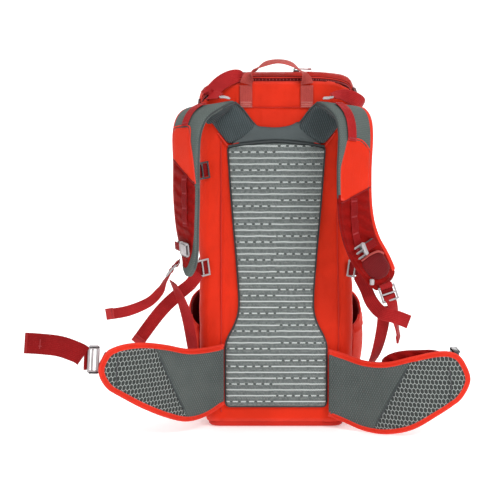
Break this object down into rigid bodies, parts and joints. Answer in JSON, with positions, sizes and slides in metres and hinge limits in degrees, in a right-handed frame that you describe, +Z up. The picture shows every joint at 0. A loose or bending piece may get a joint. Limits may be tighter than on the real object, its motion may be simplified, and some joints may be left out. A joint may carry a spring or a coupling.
{
  "type": "daypack",
  "caption": "Framed hiking daypack with a front-opening bag, ventilated back panel, S-curved shoulder straps, hinged hip belt wings, haul loop and side pockets.",
  "frame": {"origin": "centre of the base panel, on the surface the pack stands on", "axes": "+Z up along the back, -Y towards the wearer (harness side), +X to the right when looking at the harness"},
  "size_m": [0.6474, 0.3598, 0.5628],
  "materials": {
    "shell_fabric": "woven nylon, satin",
    "frame_sheet": "moulded, matt",
    "frame_rod": "drawn, satin",
    "lining": "light woven, matt",
    "back_mesh": "spacer mesh with pale rows, matt",
    "yoke_knit": "fine rib knit, matt",
    "stretch_mesh": "stretch mesh, matt",
    "zip_tape": "woven tape, matt",
    "webbing": "woven webbing, satin",
    "belt_foam": "knit over foam, matt",
    "pocket_fabric": "woven nylon, satin",
    "strap_foam": "knit over foam, matt",
    "buckle_plastic": "moulded, satin",
    "zip_pull": "moulded, matt"
  },
  "bodies": {
    "bag": {"base_panel": "shell_fabric", "back_wall": "shell_fabric", "side_wall_left": "shell_fabric", "side_wall_right": "shell_fabric", "front_lower_panel": "shell_fabric", "framesheet": "frame_sheet", "frame_hoop": "frame_rod", "hydration_sleeve": "lining", "back_mesh_panel": "back_mesh", "shoulder_yoke": "yoke_knit", "side_pocket_left": "stretch_mesh", "side_pocket_right": "stretch_mesh", "zipper_track_body": "zip_tape", "compression_webbing_left": "webbing", "compression_webbing_right": "webbing", "harness_webbing_left": "webbing", "harness_webbing_right": "webbing", "load_lifter_left": "webbing", "load_lifter_right": "webbing", "haul_loop_tabs": "webbing", "axe_loops": "webbing"},
    "flap": {"main_flap": "shell_fabric", "zipper_track_flap": "zip_tape", "front_stretch_pocket": "stretch_mesh"},
    "handle": {"haul_loop": "webbing"},
    "wing_left": {"hip_wing_left": "belt_foam", "hip_pocket_left": "pocket_fabric"},
    "wing_right": {"hip_wing_right": "belt_foam", "hip_pocket_right": "pocket_fabric"},
    "belt_end_left": {"belt_buckle_male": "buckle_plastic", "belt_webbing_tail": "webbing"},
    "belt_end_right": {"belt_buckle_female": "buckle_plastic"},
    "strap_left": {"shoulder_strap_left": "strap_foam", "sternum_rail_left": "webbing", "lifter_buckle_left": "buckle_plastic"},
    "strap_right": {"shoulder_strap_right": "strap_foam", "sternum_rail_right": "webbing", "lifter_buckle_right": "buckle_plastic", "strap_pocket_right": "stretch_mesh"},
    "sternum_slide_left": {"sternum_slider_left": "buckle_plastic"},
    "sternum_slide_right": {"sternum_slider_right": "buckle_plastic"},
    "sternum_end_left": {"sternum_buckle_left": "buckle_plastic"},
    "sternum_end_right": {"sternum_buckle_right": "buckle_plastic"},
    "strap_lock_left": {"strap_ladder_left": "buckle_plastic", "strap_tail_left": "webbing"},
    "strap_lock_right": {"strap_ladder_right": "buckle_plastic", "strap_tail_right": "webbing"},
    "side_lock_left": {"side_ladder_left": "buckle_plastic", "side_tail_left": "webbing"},
    "side_lock_right": {"side_ladder_right": "buckle_plastic", "side_tail_right": "webbing"},
    "upper_lock_left": {"upper_ladder_left": "buckle_plastic"},
    "upper_lock_right": {"upper_ladder_right": "buckle_plastic"},
    "main_zip_left": {"main_zip_slider_left": "zip_pull"},
    "main_zip_right": {"main_zip_slider_right": "zip_pull"},
    "top_zip": {"top_zip_slider": "zip_pull"},
    "hip_zip_left": {"hip_zip_slider_left": "zip_pull"},
    "hip_zip_right": {"hip_zip_slider_right": "zip_pull"}
  },
  "joints": [
    {"name": "main_flap_hinge", "type": "hinge", "parent": "bag", "child": "flap", "pos_m": [0, 0.1015, 0.207], "axis": [-1, 0, 0], "range_deg": [0, 75]},
    {"name": "haul_loop_fold", "type": "hinge", "parent": "bag", "child": "handle", "pos_m": [0, -0.0935, 0.525], "axis": [1, 0, 0], "range_deg": [-6, 80]},
    {"name": "hip_wing_left_swing", "type": "hinge", "parent": "bag", "child": "wing_left", "pos_m": [-0.079, -0.102, 0], "axis": [0, 0, 1], "range_deg": [-6, 38]},
    {"name": "hip_wing_right_swing", "type": "hinge", "parent": "bag", "child": "wing_right", "pos_m": [0.079, -0.102, 0], "axis": [0, 0, -1], "range_deg": [-6, 42]},
    {"name": "shoulder_strap_left_lift", "type": "hinge", "parent": "bag", "child": "strap_left", "pos_m": [-0.081, -0.106, 0.477], "axis": [-1, 0, 0], "range_deg": [-3, 7], "deforming": ["harness_webbing_left", "load_lifter_left"]},
    {"name": "shoulder_strap_right_lift", "type": "hinge", "parent": "bag", "child": "strap_right", "pos_m": [0.081, -0.106, 0.477], "axis": [-1, 0, 0], "range_deg": [-1.5, 5], "deforming": ["harness_webbing_right", "load_lifter_right"]},
    {"name": "sternum_left_slide", "type": "slide", "parent": "strap_left", "child": "sternum_slide_left", "axis": [0.057, 0.1833, -0.9814], "range_m": [-0.02, 0.012]},
    {"name": "sternum_left_swing", "type": "hinge", "parent": "sternum_slide_left", "child": "sternum_end_left", "pos_m": [-0.14958, -0.17982, 0.28884], "axis": [0.057, 0.1833, -0.9814], "range_deg": [0, 60]},
    {"name": "sternum_right_slide", "type": "slide", "parent": "strap_right", "child": "sternum_slide_right", "axis": [0.3868, 0.2457, -0.8889], "range_m": [-0.02, 0.012]},
    {"name": "sternum_right_swing", "type": "hinge", "parent": "sternum_slide_right", "child": "sternum_end_right", "pos_m": [0.14296, -0.18664, 0.2944], "axis": [-0.3868, -0.2457, 0.8889], "range_deg": [0, 60]},
    {"name": "strap_lock_right_tilt", "type": "hinge", "parent": "strap_right", "child": "strap_lock_right", "pos_m": [0.162, -0.162, 0.227], "axis": [0.9407, 0.1517, 0.3035], "range_deg": [-10, 15]},
    {"name": "strap_lock_left_tilt", "type": "hinge", "parent": "strap_left", "child": "strap_lock_left", "pos_m": [-0.148, -0.159, 0.259], "axis": [0, 1, 0], "range_deg": [-8, 10]},
    {"name": "side_lock_right_tilt", "type": "hinge", "parent": "bag", "child": "side_lock_right", "pos_m": [0.109, -0.096, 0.245], "axis": [0.1197, -0.0998, 0.9878], "range_deg": [-4, 1]},
    {"name": "side_lock_left_tilt", "type": "hinge", "parent": "bag", "child": "side_lock_left", "pos_m": [-0.102, -0.096, 0.247], "axis": [-0.1197, -0.0998, 0.9878], "range_deg": [-8, 2]},
    {"name": "upper_lock_right_tilt", "type": "hinge", "parent": "bag", "child": "upper_lock_right", "pos_m": [0.108, -0.096, 0.395], "axis": [0.1197, -0.0998, 0.9878], "range_deg": [-12, 12]},
    {"name": "upper_lock_left_tilt", "type": "hinge", "parent": "bag", "child": "upper_lock_left", "pos_m": [-0.102, -0.096, 0.395], "axis": [-0.1197, -0.0998, 0.9878], "range_deg": [-12, 12]},
    {"name": "belt_end_left_swing", "type": "hinge", "parent": "wing_left", "child": "belt_end_left", "pos_m": [-0.257, -0.226, 0.118], "axis": [0, 0, 1], "range_deg": [-20, 30]},
    {"name": "belt_end_right_swing", "type": "hinge", "parent": "wing_right", "child": "belt_end_right", "pos_m": [0.268, -0.164, 0.109], "axis": [0, 0, -1], "range_deg": [-20, 8]},
    {"name": "main_zip_right_slide", "type": "slide", "parent": "bag", "child": "main_zip_right", "axis": [0, 0.077, -0.997], "range_m": [0, 0.16]},
    {"name": "main_zip_left_slide", "type": "slide", "parent": "bag", "child": "main_zip_left", "axis": [0, 0.077, -0.997], "range_m": [0, 0.16]},
    {"name": "top_zip_slide", "type": "slide", "parent": "flap", "child": "top_zip", "axis": [-1, 0, 0], "range_m": [-0.02, 0.08]},
    {"name": "hip_zip_right_slide", "type": "slide", "parent": "wing_right", "child": "hip_zip_right", "axis": [-0.9364, 0.3508, 0], "range_m": [-0.008, 0.014]},
    {"name": "hip_zip_left_slide", "type": "slide", "parent": "wing_left", "child": "hip_zip_left", "axis": [0.7902, 0.6129, 0], "range_m": [-0.008, 0.014]}
  ]
}
